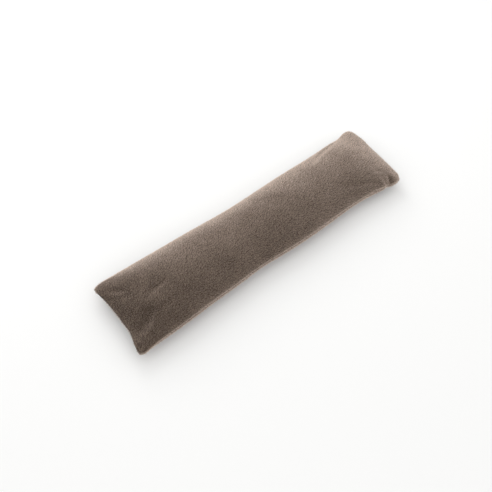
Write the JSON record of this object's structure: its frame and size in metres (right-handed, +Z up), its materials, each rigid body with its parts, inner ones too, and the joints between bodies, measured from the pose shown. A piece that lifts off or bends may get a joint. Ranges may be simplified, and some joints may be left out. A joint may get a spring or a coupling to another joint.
{
  "type": "draught excluder",
  "caption": "Long filled plush cushion that lies along the foot of a door to stop draughts, with a knife-edge seam and soft pointed ears.",
  "frame": {"origin": "under the middle of the cushion's box, on the floor it lies on", "axes": "+X along the cushion, +Y across it, +Z up out of its crown"},
  "size_m": [0.7916, 0.2116, 0.0744],
  "materials": {
    "plush": "short dense taupe plush with a soft nap"
  },
  "bodies": {
    "root": {"cushion": "plush"}
  },
  "joints": []
}
